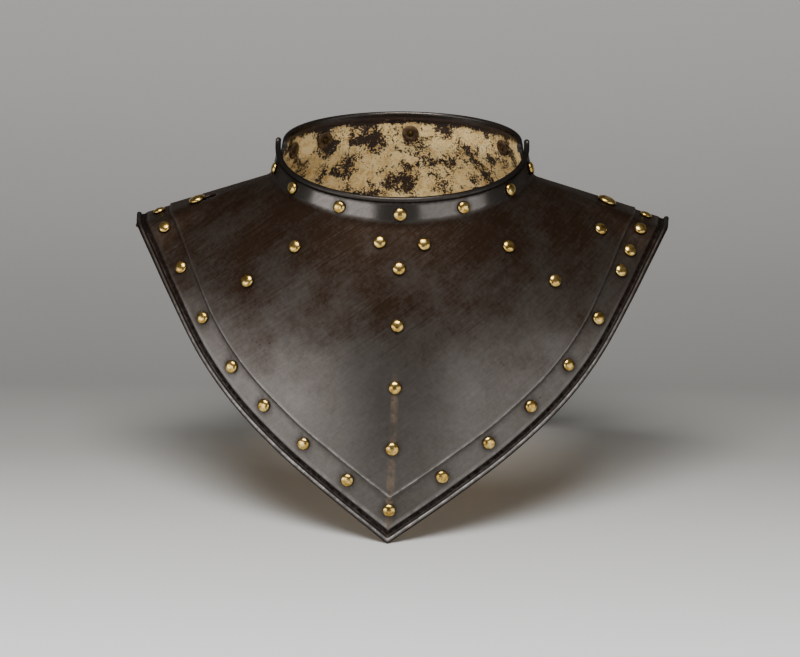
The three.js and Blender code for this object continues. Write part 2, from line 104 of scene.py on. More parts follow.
backOutline = [
    {"along": 0.0, "side": 0.0, "reach": 1.0, "rise": 0.0, "turn": 0.0, "swell": 0.5},
    {"along": 0.17, "side": 0.291, "reach": 0.985, "rise": 0.0, "turn": 0.293, "swell": 0.6},
    {"along": 0.27, "side": 0.44, "reach": 0.92, "rise": 0.085, "turn": 0.431, "swell": 0.7},
    {"along": 0.41, "side": 0.602, "reach": 0.78, "rise": 0.285, "turn": 0.581, "swell": 0.9},
    {"along": 0.585, "side": 0.757, "reach": 0.6, "rise": 0.54, "turn": 0.72, "swell": 1.0},
    {"along": 0.745, "side": 0.89, "reach": 0.4, "rise": 0.79, "turn": 0.827, "swell": 0.7},
    {"along": 0.84, "side": 0.965, "reach": 0.245, "rise": 0.935, "turn": 0.9, "swell": 0.3},
    {"along": 0.9, "side": 0.994, "reach": 0.14, "rise": 1.0, "turn": 0.945, "swell": 0.0},
    {"along": 1.0, "side": 1.0, "reach": -0.1, "rise": 1.0, "turn": 1.085, "swell": 0.0},
]

slopeTan = math.tan(gorget["shoulderSlope"])
nest = gorget["steel"] + collar["gap"]
plateDrop = (gorget["steel"] + gorget["plateGap"]) / math.cos(gorget["shoulderSlope"])
centreY = (gorget["frontReach"] - gorget["backReach"]) / 2
rowShift = Vector((0, centreY, -gorget["footTrim"]))

frontPlate = {
    "facing": -1,
    "outline": frontOutline,
    "halfWidth": gorget["halfWidth"],
    "reach": gorget["frontReach"],
    "base": {"half": collar["baseHalf"], "reach": collar["baseFront"],
             "sideZ": collar["baseSideZ"], "middleZ": collar["baseFrontZ"], "fall": collar["footFall"]},
    "rim": {"half": collar["baseHalf"] - collar["lean"],
            "reach": collar["baseFront"] - collar["leanFront"],
            "sideZ": collar["baseSideZ"] + collar["rimRise"],
            "middleZ": collar["baseFrontZ"] + collar["rimRiseFront"],
            "fall": collar["rimFall"]},
    "drift": gorget["tipDrift"],
}
backBaseHalf = collar["baseHalf"] - nest
backPlate = {
    "facing": 1,
    "outline": backOutline,
    "halfWidth": gorget["halfWidth"] + gorget["backPoke"],
    "reach": gorget["backReach"],
    "base": {"half": backBaseHalf, "reach": collar["baseBack"],
             "sideZ": collar["baseSideZ"] + nest * slopeTan - plateDrop,
             "middleZ": collar["baseBackZ"], "fall": collar["footFall"]},
    "rim": {"half": backBaseHalf - collar["lean"],
            "reach": collar["baseBack"] - collar["leanBack"],
            "sideZ": collar["baseSideZ"] + collar["rimRise"],
            "middleZ": collar["baseBackZ"] + collar["rimRiseBack"],
            "fall": collar["rimFall"]},
    "drift": 0.0,
}


def clamp(value, low=0.0, high=1.0):
    return max(low, min(high, value))


def columnAt(rows, along, column):
    # smooth curve through one column, which never runs past its rows
    last = len(rows) - 1
    a = clamp(along, rows[0]["along"], rows[last]["along"])
    i = 0
    while i < last - 1 and a > rows[i + 1]["along"]:
        i += 1

    def secant(k):
        return (rows[k + 1][column] - rows[k][column]) / (rows[k + 1]["along"] - rows[k]["along"])

    def slopeAt(k):
        if k == 0:
            return secant(0)
        if k == last:
            return secant(last - 1)
        before, after = secant(k - 1), secant(k)
        return 2 * before * after / (before + after) if before * after > 0 else 0.0

    run = rows[i + 1]["along"] - rows[i]["along"]
    u = (a - rows[i]["along"]) / run
    return ((2 * u**3 - 3 * u**2 + 1) * rows[i][column]
            + (u**3 - 2 * u**2 + u) * slopeAt(i) * run
            + (3 * u**2 - 2 * u**3) * rows[i + 1][column]
            + (u**3 - u**2) * slopeAt(i + 1) * run)


def collarLine(plate, line, turn):
    angle = turn * math.pi / 2
    fall = max(0.0, math.cos(angle)) ** line["fall"]
    return Vector((line["half"] * math.sin(angle),
                   plate["facing"] * line["reach"] * math.cos(angle),
                   line["sideZ"] - (line["sideZ"] - line["middleZ"]) * fall))


def spokeAt(plate, share):
    # the line from the rim over the collar's foot to the edge
    rows = plate["outline"]
    along = abs(share)
    turn = columnAt(rows, along, "turn")
    foot = collarLine(plate, plate["base"], turn)
    rim = collarLine(plate, plate["rim"], turn)
    tipZ = plate["base"]["sideZ"] - (plate["halfWidth"] - plate["base"]["half"]) * slopeTan
    edge = Vector((plate["halfWidth"] * columnAt(rows, along, "side"),
                   plate["facing"] * plate["reach"] * columnAt(rows, along, "reach"),
                   tipZ * columnAt(rows, along, "rise")))
    span = edge - foot
    level = math.hypot(span.x, span.y)
    outward = Vector((-span.x * span.z / level, -span.y * span.z / level, level)).normalized()
    return {"plate": plate, "mirror": -1 if share < 0 else 1, "foot": foot, "rim": rim, "edge": edge,
            "span": span, "length": span.length, "wall": (rim - foot).length, "outward": outward,
            "swell": gorget["fullness"] * columnAt(rows, along, "swell")}


def onSpoke(spoke, down):
    plate = spoke["plate"]
    if down < 0:
        point = spoke["foot"].lerp(spoke["rim"], -down)
    else:
        bulge = spoke["swell"] * 4 * down * (1 - down)
        point = spoke["foot"] + spoke["span"] * down + spoke["outward"] * bulge
    point.x *= spoke["mirror"]
    low = max(0.0, 1 - point.z / plate["base"]["middleZ"])
    point.x -= plate["drift"] * low**1.5 * max(0.0, 1 - abs(point.x) / plate["halfWidth"])
    return point


def pointOn(spoke, down):
    # the outer face, with the bend at the collar's foot rounded
    radius = collar["creaseRadius"]
    distance = down * (spoke["wall"] if down < 0 else spoke["length"])
    if abs(distance) >= radius:
        return onSpoke(spoke, down)
    share = (distance + radius) / (2 * radius)
    above = onSpoke(spoke, -radius / spoke["wall"])
    middle = onSpoke(spoke, 0)
    below = onSpoke(spoke, radius / spoke["length"])
    return above * (1 - share) ** 2 + middle * (2 * share * (1 - share)) + below * share**2


def fanAt(plate, share):
    # a spoke with its two near neighbours, from which the face's slope is read
    small = 0.002
    return (spokeAt(plate, share), spokeAt(plate, clamp(share - small, -1, 1)),
            spokeAt(plate, clamp(share + small, -1, 1)))


def liftedPoint(fan, down, height):
    spoke, before, after = fan
    small = 0.002
    across = pointOn(after, down) - pointOn(before, down)
    along = pointOn(spoke, down + small) - pointOn(spoke, down - small)
    normal = along.cross(across).normalized() * -spoke["plate"]["facing"]
    return pointOn(spoke, down) + normal * height, normal


def downFromEdge(plate, share, fromEdge):
    small = 0.004
    along = clamp(abs(share), small, 1 - small)
    edgeway = (spokeAt(plate, along + small)["edge"] - spokeAt(plate, along - small)["edge"]).normalized()
    spoke = spokeAt(plate, share)
    cosine = spoke["span"].dot(edgeway) / spoke["length"]
    return 1 - fromEdge / (spoke["length"] * math.sqrt(1 - cosine**2))


# Traces of use, with painted shade and highlights, in millimetres: what they do to the steel is in its
# material
handling = {
    "bendDarkening": 0.3,          # darker in the bend at the collar's foot
    "haloWidth": 3.0,          # dirt and painted shade round each rivet head
    "haloDirtAndShade": 0.5,
    "rubAndGlintWidth": 2.2,           # bright steel round the keyhole, where the stud's head rubs, with a painted glint
    "leastWearAndHighlight": 0.12,         # edges high on the shoulders, as a share of the wear and painted highlight low down
    "wearAndHighlightHeight": 105.0,
    "keelRustTop": 98.0,       # rust on the keel fades in below this height
    "keelRustFade": 16.0,
}


# Cross-section of the plates. Each station has the heights of the outer and the inner face over the
# field, its wear and painted highlight, its dirt and painted shade, and how bare of coating it is there.
def station(where, outer, inner, wear=0.0, grime=0.0, bare=0.0):
    return {"where": where, "outer": outer, "inner": inner, "wear": wear, "grime": grime, "bare": bare}


def rimStations(plate):
    # measured down from the rim
    steel = gorget["steel"]
    rows = []
    if plate["facing"] > 0:
        lip = steel + edges["hemThickness"]
        for k in range(1, 7):
            angle = math.pi / 2 * k / 6
            drop = lip / 2 * (1 - math.cos(angle))
            rise = lip / 2 * math.sin(angle)
            rows.append(station(drop, -lip / 2 + rise, -lip / 2 - rise, wear=0.5, grime=0.7, bare=1))
        # the hem, darkened: painted shade
        for share, bare in ((0.45, 1), (0.6, 1), (0.75, 0.5), (0.9, 0.2)):
            rows.append(station(edges["hemDepth"] * share, 0, -lip, grime=0.85 * bare, bare=bare))
        rows.append(station(edges["hemDepth"] - 0.1, 0, -lip + 0.15, grime=0.2, bare=0.15))
        rows.append(station(edges["hemDepth"] + 0.3, 0, -steel - 0.1, grime=0.7, bare=0.35))
        rows.append(station(edges["hemDepth"] + 1.0, 0, -steel, grime=0.2, bare=0.15))
        return rows
    radius = edges["rimRollRadius"]
    centre = radius - steel
    for k in range(1, 16):
        angle = math.pi * k / 16
        inner = -steel if angle > math.pi / 2 else centre - radius * math.sin(angle)
        rows.append(station(radius * (1 - math.cos(angle)), centre + radius * math.sin(angle), inner,
                            wear=0.4 * math.sin(angle) ** 2, grime=0.75, bare=1))
    # painted shade in the crease under the rolled rim
    rows.append(station(radius * 2 + 0.1, 0.1, -steel, grime=1, bare=0.6))
    rows.append(station(radius * 2 + 0.7, 0, -steel, grime=0.6))
    return rows


def edgeStations(plate):
    # measured in from the edge
    radius = edges["backRollRadius"] if plate["facing"] > 0 else edges["rollRadius"]
    steel = gorget["steel"]
    band = -edges["stepDrop"]
    inner = band - steel
    centre = inner + radius
    border, run = edges["border"], edges["stepRun"]
    grooveEnd = radius * 2 + edges["grooveWidth"]
    # the step's edge: worn bright, with a painted highlight
    rows = [station(border + 1.6, 0, -steel),
            station(border + 0.7, 0.06, -steel, wear=0.4),
            station(border + 0.1, 0.04, -steel, wear=1.0)]
    for k in range(1, 6):
        share = k / 6
        height = band * (share * share * (3 - 2 * share))
        rows.append(station(border - run * share, height, height - steel,
                            wear=1 - 0.6 * share, grime=0.2 * share))
    # painted shadow at the foot of the step
    rows.append(station(border - run - 0.2, band, inner, grime=0.5))
    rows.append(station(border - run - 1.2, band, inner, grime=0.2))
    for share in (0.2, 0.4, 0.6, 0.8):
        rows.append(station(border - 2.5 + (grooveEnd + 2.5 - border) * share, band, inner))
    # the groove: a painted highlight on its edge, then dirt and painted shade in it
    rows.append(station(grooveEnd + 0.4, band + 0.03, inner, wear=0.5))
    for k in range(1, 8):
        share = k / 8
        dip = edges["grooveDepth"] * math.sin(math.pi * share * 0.85)
        rows.append(station(grooveEnd - edges["grooveWidth"] * share, band - dip, inner,
                            grime=clamp(1.7 * math.sin(math.pi * share))))
    rows.append(station(radius * 2 + 0.05, band - edges["grooveDepth"] * 0.5, inner, grime=1))
    for k in range(1, 16):
        angle = math.pi * k / 16
        low = inner if angle < math.pi / 2 else centre - radius * math.sin(angle)
        rows.append(station(radius * (1 + math.cos(angle)), centre + radius * math.sin(angle), low,
                            wear=0.85 * math.sin(angle + 0.35) ** 10, grime=0.8, bare=1))
    return rows


def sectionStations(plate, share):
    spoke = spokeAt(plate, share)
    steel = gorget["steel"]
    rows = [dict(s, down=-1 + s["where"] / spoke["wall"]) for s in rimStations(plate)]
    top = rows[-1]["down"]
    bend = -collar["creaseRadius"] / spoke["wall"]

    def addPlain(down, grime=0.0):
        rows.append(dict(station(0, 0, -steel, grime=grime), down=down))

    for k in range(1, 7):
        addPlain(top + (bend - top) * k / 6)
    for k in range(1, 6):
        addPlain(bend * (1 - k / 6), handling["bendDarkening"] * math.sin(math.pi * k / 12))
    fieldStart = collar["creaseRadius"] / spoke["length"]
    for k in range(6):
        addPlain(fieldStart * k / 6, handling["bendDarkening"] * math.sin(math.pi * (6 + k) / 12))
    fieldEnd = downFromEdge(plate, share, edges["border"] + 3)
    count = fineness["fieldStations"]
    for k in range(count):
        addPlain(fieldStart + (fieldEnd - fieldStart) * k / (count - 1))
    for s in edgeStations(plate):
        rows.append(dict(s, down=downFromEdge(plate, share, s["where"])))
    return rows


hammer = {"rise": 0.14, "perMm": 0.04, "fineRise": 0.03, "finePerMm": 0.15}


def hammered(point):
    # slow unevenness left by the planishing hammer
    slow = hammer["rise"] * noise.noise(point * hammer["perMm"])
    return slow + hammer["fineRise"] * noise.noise(point * hammer["finePerMm"])


def toRow(point):
    placed = (point + rowShift) * mm
    placed.z = max(placed.z, 0.0)
    return placed


def makePlate(name, plate, spokes, seats, finishes, rubbedSeats=()):
    steel = gorget["steel"]
    backRim = plate["facing"] > 0
    rimHeight = -(steel + edges["hemThickness"]) / 2 if backRim else edges["rimRollRadius"] - steel
    edgeRadius = edges["backRollRadius"] if backRim else edges["rollRadius"]
    edgeHeight = -edges["stepDrop"] - steel + edgeRadius
    mesh = bmesh.new()
    layers = {key: mesh.verts.layers.float.new(key) for key in ("wear", "grime", "bare", "ridge", "polish")}
    rings = []
    bareRing = []
    for k in range(-spokes, spokes + 1):
        share = k / spokes
        fan = fanAt(plate, share)
        rows = sectionStations(plate, share)
        ring = []
        bareRing.clear()

        def addVertex(down, height, wear, grime, bare):
            point, normal = liftedPoint(fan, down, height)
            point += normal * hammered(point)
            vertex = mesh.verts.new(toRow(point))
            # dirt and painted shade round each rivet head
            halo = 0.0
            for seat in seats:
                gap = (point - seat["point"]).length - seat["radius"]
                halo = max(halo, clamp(1 - gap / handling["haloWidth"]) * handling["haloDirtAndShade"])
            for seat in rubbedSeats:
                gap = abs((point - seat["point"]).length - seat["radius"])
                wear = max(wear, clamp(handling["rubAndGlintWidth"] - gap))
            low = clamp(1.2 - point.z / handling["wearAndHighlightHeight"])
            vertex[layers["wear"]] = wear * (handling["leastWearAndHighlight"] + (1 - handling["leastWearAndHighlight"]) * low)
            vertex[layers["grime"]] = max(grime, halo)
            vertex[layers["bare"]] = bare
            vertex[layers["polish"]] = clamp(-down * 5)
            bareRing.append(bare)
            onKeel = 0.0 if backRim else clamp(1.2 - abs(share) * 100) * clamp(down * 6)
            below = clamp((handling["keelRustTop"] - point.z) / handling["keelRustFade"])
            vertex[layers["ridge"]] = onKeel * below
            ring.append(vertex)

        addVertex(-1, rimHeight, 0.4, 0.7, 1)
        for s in rows:
            addVertex(s["down"], s["outer"], s["wear"], s["grime"], 1)
        addVertex(1, edgeHeight, 0, 0.8, 1)
        for s in reversed(rows):
            addVertex(s["down"], s["inner"], 0, s["grime"] * 0.5, s["bare"])
        rings.append(ring)
    size = len(rings[0])
    count = size // 2 - 1
    for first, second in zip(rings, rings[1:]):
        for i in range(size):
            j = (i + 1) % size
            face = mesh.faces.new((first[i], second[i], second[j], first[j]))
            face.material_index = 0 if bareRing[i] == 1 and bareRing[j] == 1 else 1
            face.smooth = True
    for ring in (rings[0], rings[-1]):
        for i in range(count - 1):
            mesh.faces.new((ring[1 + i], ring[2 + i], ring[size - 2 - i], ring[size - 1 - i]))
        mesh.faces.new((ring[0], ring[1], ring[size - 1]))
        mesh.faces.new((ring[count], ring[count + 1], ring[count + 2]))
    bmesh.ops.recalc_face_normals(mesh, faces=mesh.faces)
    piece = meshObject(name, mesh)
    for finish in finishes:
        piece.data.materials.append(finish)
    return piece


def meshObject(name, mesh):
    data = bpy.data.meshes.new(name)
    mesh.to_mesh(data)
    mesh.free()
    piece = bpy.data.objects.new(name, data)
    bpy.context.scene.collection.objects.link(piece)
    return piece


# Rivets, placed as in the solids: share round the half outline, share down from the collar's foot
rivets = {
    "headRadius": 3.7, "headHeight": 2.4, "shankRadius": 1.5,
    "band": 14.0,
    "seatGap": 0.1,
    "unevenSize": 0.04, "unevenTilt": math.radians(3),
    "collar": [-0.86, -0.54, -0.252, 0.0, 0.261, 0.545, 0.89],
    "collarHeight": 0.38,
    "borderRight": [0.115, 0.24, 0.363, 0.478, 0.612, 0.751, 0.876, 0.972],
    "borderLeft": [0.129, 0.249, 0.368, 0.492, 0.62, 0.753, 0.818, 0.884, 0.972],
    "field": [
        {"name": "field_rivet_inner_right", "share": -0.075, "down": 0.06},
        {"name": "field_rivet_inner_left", "share": 0.09, "down": 0.068},
        {"name": "field_rivet_mid_right", "share": -0.39, "down": 0.186},
        {"name": "field_rivet_mid_left", "share": 0.405, "down": 0.186},
        {"name": "field_rivet_outer_right", "share": -0.513, "down": 0.47},
        {"name": "field_rivet_outer_left", "share": 0.526, "down": 0.47},
        {"name": "field_rivet_shoulder_left", "share": 0.805, "down": 0.572},
        {"name": "keel_rivet_1", "share": 0.0, "down": 0.136},
        {"name": "keel_rivet_2", "share": 0.0, "down": 0.316},
        {"name": "keel_rivet_3", "share": 0.0, "down": 0.509},
        {"name": "keel_rivet_4", "share": 0.0, "down": 0.7},
        {"name": "keel_rivet_5", "share": 0.0, "down": 0.893},
    ],
    "backCollar": [-0.62, -0.3, 0.02, 0.47],
    "backCollarHeight": 0.42,
    "backBorder": [-0.76, -0.58, -0.4, -0.2, 0.0, 0.2, 0.4, 0.58, 0.76],
}
fastenings = {
    "side": gorget["halfWidth"] - 37.0, "pivotY": 2.0, "studY": -4.0,
    "pivotHeadRadius": 5.5, "pivotHeadHeight": 3.0, "pivotShank": 2.4,
    "studHeadRadius": 4.9, "studHeadHeight": 2.8, "studShank": 2.0, "studGap": 0.45,
    "innerHeadRadius": 4.0, "innerHeadHeight": 1.1,
    "spacerRadius": 4.6,
    "keyholeRadius": 4.4, "keyholeReach": 6.6,
    "clearance": 0.3,
    "looseness": 0.35,
    "pivotGap": 0.2,
    "tongueMargin": 12.0,
}
washers = {"radius": 5.0, "thickness": 0.8, "gap": 0.6, "backing": 1.5, "unevenSize": 0.06}


def seatOn(plate, share, down, height=0.0):
    point, normal = liftedPoint(fanAt(plate, share), down, height)
    return {"point": point, "normal": normal, "radius": rivets["headRadius"]}


def shoulderSeat(side, mirror, y, radius):
    slope = gorget["shoulderSlope"]
    point = Vector((mirror * side, y, collar["baseSideZ"] - (side - collar["baseHalf"]) * slopeTan))
    normal = Vector((mirror * math.sin(slope), 0, math.cos(slope)))
    return {"point": point, "normal": normal, "radius": radius}


frontSeats = {}
for i, share in enumerate(rivets["collar"]):
    frontSeats[f"collar_rivet_{i + 1}"] = seatOn(frontPlate, share, -rivets["collarHeight"])
for row in rivets["field"]:
    onBand = row["down"] > downFromEdge(frontPlate, row["share"], edges["border"])
    frontSeats[row["name"]] = seatOn(frontPlate, row["share"], row["down"],
                                     -edges["stepDrop"] if onBand else 0.0)
for side, shares, mirror in (("right", rivets["borderRight"], -1), ("left", rivets["borderLeft"], 1)):
    for i, share in enumerate(shares):
        down = downFromEdge(frontPlate, share, rivets["band"])
        seat = seatOn(frontPlate, mirror * share, down, -edges["stepDrop"])
        frontSeats[f"border_rivet_{side}_{i + 1}"] = seat
backSeats = {}
for i, share in enumerate(rivets["backCollar"]):
    backSeats[f"back_collar_rivet_{i + 1}"] = seatOn(backPlate, share, -rivets["backCollarHeight"])
for i, share in enumerate(rivets["backBorder"]):
    down = downFromEdge(backPlate, share, rivets["band"])
    backSeats[f"back_border_rivet_{i + 1}"] = seatOn(backPlate, share, down, -edges["stepDrop"])
pivotSeat = shoulderSeat(fastenings["side"], 1, fastenings["pivotY"], fastenings["pivotHeadRadius"])
studSeat = shoulderSeat(fastenings["side"], -1, fastenings["studY"], fastenings["studHeadRadius"])
lobeSeat = shoulderSeat(fastenings["side"] - fastenings["keyholeReach"], -1, fastenings["studY"],
                        fastenings["keyholeRadius"])


def standing(seat, height=0.0):
    # matrix in metres that stands +Z on a face
    turn = Vector((0, 0, 1)).rotation_difference(seat["normal"]).to_matrix().to_4x4()
    return Matrix.Translation((seat["point"] + seat["normal"] * height + rowShift) * mm) @ turn


def turnedPiece(name, seat, profile, sides, tilt=0.0, crown=1.0):
    # a lathe-turned piece; profile rows are radius and height in millimetres
    mesh = bmesh.new()
    heightLayer = mesh.verts.layers.float.new("crown")
    place = standing(seat)
    if tilt:
        place = place @ Matrix.Rotation(tilt, 4, "X") @ Matrix.Rotation(random.uniform(0, math.tau), 4, "Z")
    rings = []
    for radius, height in profile:
        if radius == 0:
            ring = [mesh.verts.new(place @ Vector((0, 0, height * mm)))]
        else:
            ring = []
            for k in range(sides):
                angle = math.tau * k / sides
                around = Vector((math.cos(angle), math.sin(angle), 0)) * radius * mm
                ring.append(mesh.verts.new(place @ (around + Vector((0, 0, height * mm)))))
        for vertex in ring:
            vertex[heightLayer] = clamp(height / crown)
        rings.append(ring)
    for first, second in zip(rings, rings[1:]):
        for k in range(sides):
            a, b = first[k % len(first)], first[(k + 1) % len(first)]
            c, d = second[(k + 1) % len(second)], second[k % len(second)]
            corners = []
            for vertex in (a, b, c, d):
                if vertex not in corners:
                    corners.append(vertex)
            if len(corners) > 2:
                mesh.faces.new(corners).smooth = True
    bmesh.ops.recalc_face_normals(mesh, faces=mesh.faces)
    return meshObject(name, mesh)


def domeRows(radius, height, start):
    # low dome with a rounded lower rim, like a pressed furniture nail
    rings = fineness["domeRings"]
    rows = [(radius * 0.9, start), (radius * 0.985, start + 0.12 * height), (radius, start + 0.22 * height)]
    for k in range(1, rings):
        angle = math.pi / 2 * k / rings
        rows.append((radius * math.cos(angle) ** 0.85, start + height * (0.22 + 0.78 * math.sin(angle))))
    return rows + [(0, start + height)]


def makeRivet(name, seat, backing):
    size = 1 + random.uniform(-rivets["unevenSize"], rivets["unevenSize"])
    shank = rivets["shankRadius"]
    inside = -gorget["steel"] - backing
    profile = [(0, inside - 0.5), (shank * 0.7, inside - 0.45), (shank * 1.15, inside - 0.1),
               (shank, inside + 0.2), (shank, rivets["seatGap"])]
    profile += domeRows(rivets["headRadius"] * size, rivets["headHeight"] * size, rivets["seatGap"])
    return turnedPiece(name, seat, profile, fineness["domeSides"],
                       random.uniform(-1, 1) * rivets["unevenTilt"], rivets["headHeight"])


def cutWith(piece, cutter):
    change = piece.modifiers.new("cut", "BOOLEAN")
    change.operation = "DIFFERENCE"
    change.solver = "EXACT"
    change.object = cutter
    bpy.context.view_layer.update()
    data = bpy.data.meshes.new_from_object(piece.evaluated_get(bpy.context.evaluated_depsgraph_get()))
    piece.modifiers.remove(change)
    old = piece.data
    piece.data = data
    bpy.data.meshes.remove(old)
    bpy.data.objects.remove(cutter)


drillLength = 12.0


def drillBit(seat, radius):
    end = drillLength / 2
    return turnedPiece("drillBit", seat, [(0, -end), (radius, -end), (radius, end), (0, end)],
                       fineness["headSides"])


def slotBit(seat, width, target):
    way = target - seat["point"]
    length = way.length
    way.normalize()
    side = seat["normal"].cross(way)
    mesh = bmesh.new()
    bmesh.ops.create_cube(mesh, size=1)
    basis = Matrix((side * width, way * length, seat["normal"] * drillLength)).transposed().to_4x4()
    middle = (seat["point"] + way * length / 2 + rowShift) * mm
    mesh.transform(Matrix.Translation(middle) @ Matrix.Scale(mm, 4) @ basis)
    bmesh.ops.recalc_face_normals(mesh, faces=mesh.faces)
    return meshObject("slotBit", mesh)


def tongueWaste(mirror, y):
    # the outer corner taken off the back plate's shoulder, rounded about the fastening
    margin = fastenings["tongueMargin"]
    outer = gorget["halfWidth"]
    corners = [(0, -margin * 3), (0, -margin)]
    for k in range(1, 25):
        angle = -math.pi / 2 + (math.pi / 3 + math.pi / 2) * k / 24
        corners.append((margin * math.cos(angle), margin * math.sin(angle)))
    corners += [(outer, margin * math.sin(math.pi / 3)), (outer, -margin * 3)]
    mesh = bmesh.new()
    low = [mesh.verts.new((mirror * cx, cy, -drillLength)) for cx, cy in corners]
    high = [mesh.verts.new((mirror * cx, cy, drillLength)) for cx, cy in corners]
    mesh.faces.new(low)
    mesh.faces.new(high)
    for k in range(len(corners)):
        j = (k + 1) % len(corners)
        mesh.faces.new((low[k], low[j], high[j], high[k]))
    seat = shoulderSeat(fastenings["side"], mirror, y, 1)
    tilt = Matrix.Rotation(mirror * gorget["shoulderSlope"], 4, "Y")
    mesh.transform(Matrix.Translation((seat["point"] + rowShift) * mm) @ Matrix.Scale(mm, 4) @ tilt)
    bmesh.ops.recalc_face_normals(mesh, faces=mesh.faces)
    return meshObject("tongueWaste", mesh)


# Materials
def colour(code):
    # sRGB hex to linear
    channels = []
    for k in (0, 2, 4):
        c = int(code[k + 1:k + 3], 16) / 255
        channels.append(c / 12.92 if c <= 0.04045 else ((c + 0.055) / 1.055) ** 2.4)
    return (*channels, 1.0)


def add(tree, kind, settings=None, links=None):
    # one node: settings are its own properties, links are values or sockets for its inputs
    node = tree.nodes.new(kind)
    for key, value in (settings or {}).items():
        if key == "stops":
            elements = node.color_ramp.elements
            while len(elements) < len(value):
                elements.new(0.5)
            for element, (place, shade) in zip(elements, value):
                element.position = place
                element.color = colour(shade)
        else:
            setattr(node, key, value)
    for key, value in (links or {}).items():
        if isinstance(value, bpy.types.NodeSocket):
            tree.links.new(value, node.inputs[key])
        else:
            node.inputs[key].default_value = value
    return node


def newMaterial(name):
    material = bpy.data.materials.new(name)
    material.use_nodes = True
    tree = material.node_tree
    tree.nodes.clear()
    return material, tree


def mixColour(tree, share, first, second):
    return add(tree, "ShaderNodeMix", {"data_type": "RGBA"}, {0: share, 6: first, 7: second}).outputs[2]


def combine(tree, operation, first, second, limit=False):
    return add(tree, "ShaderNodeMath", {"operation": operation, "use_clamp": limit},
               {0: first, 1: second}).outputs[0]


def times(tree, first, second):
    return combine(tree, "MULTIPLY", first, second)


def plus(tree, first, second, limit=False):
    return combine(tree, "ADD", first, second, limit)


def spread(tree, value, low=0.0, high=1.0, toLow=0.0, toHigh=1.0, smooth=False):
    # low to high becomes toLow to toHigh, and stops there
    return add(tree, "ShaderNodeMapRange", {"interpolation_type": "SMOOTHSTEP" if smooth else "LINEAR"},
               {0: value, 1: low, 2: high, 3: toLow, 4: toHigh}).outputs[0]


def attribute(tree, name):
    return add(tree, "ShaderNodeAttribute", {"attribute_name": name}).outputs["Fac"]


def perMetre(millimetres):
    # noise scale for a feature of this real width
    return 1 / (millimetres * mm)


def cloudy(tree, space, millimetres, detail, rough, distortion=0.0):
    return add(tree, "ShaderNodeTexNoise", None,
               {"Vector": space, "Scale": perMetre(millimetres), "Detail": detail, "Roughness": rough,
                "Distortion": distortion}).outputs[0]


def ramp(tree, value, stops):
    return add(tree, "ShaderNodeValToRGB", {"stops": stops}, {0: value}).outputs[0]


def raised(tree, height, strength, depthMm):
    return add(tree, "ShaderNodeBump", None,
               {"Height": height, "Strength": strength, "Distance": depthMm * mm}).outputs[0]


def surface(tree, inputs):
    shader = add(tree, "ShaderNodeBsdfPrincipled", None, inputs)
    add(tree, "ShaderNodeOutputMaterial", None, {"Surface": shader.outputs[0]})


steelFinish = {
    "metal": "#625e59",         # scoured steel
    "oxide": "#2d2016",         # russet oxide that is left on it
    "wornAndHighlight": "#aaa5a0",          # rubbed edges and painted highlights
    "dirtAndShadeColour": "#140d0a",
    "rust": "#96806a",
    "grazing": "#8c8884",       # wax keeps the skimming light down
    "waxLevel": 0.25,
    "cloudMm": 30.0,
    "cloudWeight": 0.46,        # what each pattern adds to the oxide
    "speckMm": 2.4,
    "speckWeight": 0.45,
    "strokeWeight": -0.65,
    "russetAndShadeWeight": 0.5,
    "coverRange": (-0.09, 0.67),    # no oxide at the first value, full oxide at the second
    "russetAndShadeFrom": 0.07,         # scoured bright below this height in metres
    "russetAndShadeTo": 0.16,           # and left brown and darker above this one: oxide and painted shade
    "russetWaver": 0.06,
    "strokes": [{"turn": 0.6, "share": 0.6}, {"turn": -0.65, "share": 0.2}, {"turn": 1.15, "share": 0.2}],
    "scratchWidthMm": 0.4,      # drawn coarser than real, so that it shows
    "scratchLengthMm": 22.0,
    "pitSpacingMm": 5.2,
    "breakMm": 9.0,
    "roughness": (0.28, 0.38),
    "collarRoughness": 0.17,    # the collar is the smoothest, from wear
    "oxideRoughness": 0.06,
    "dirtRoughness": 0.3,
    "metallic": (1.0, 0.65),    # bare metal and full oxide
    "reliefMm": 0.2,
}


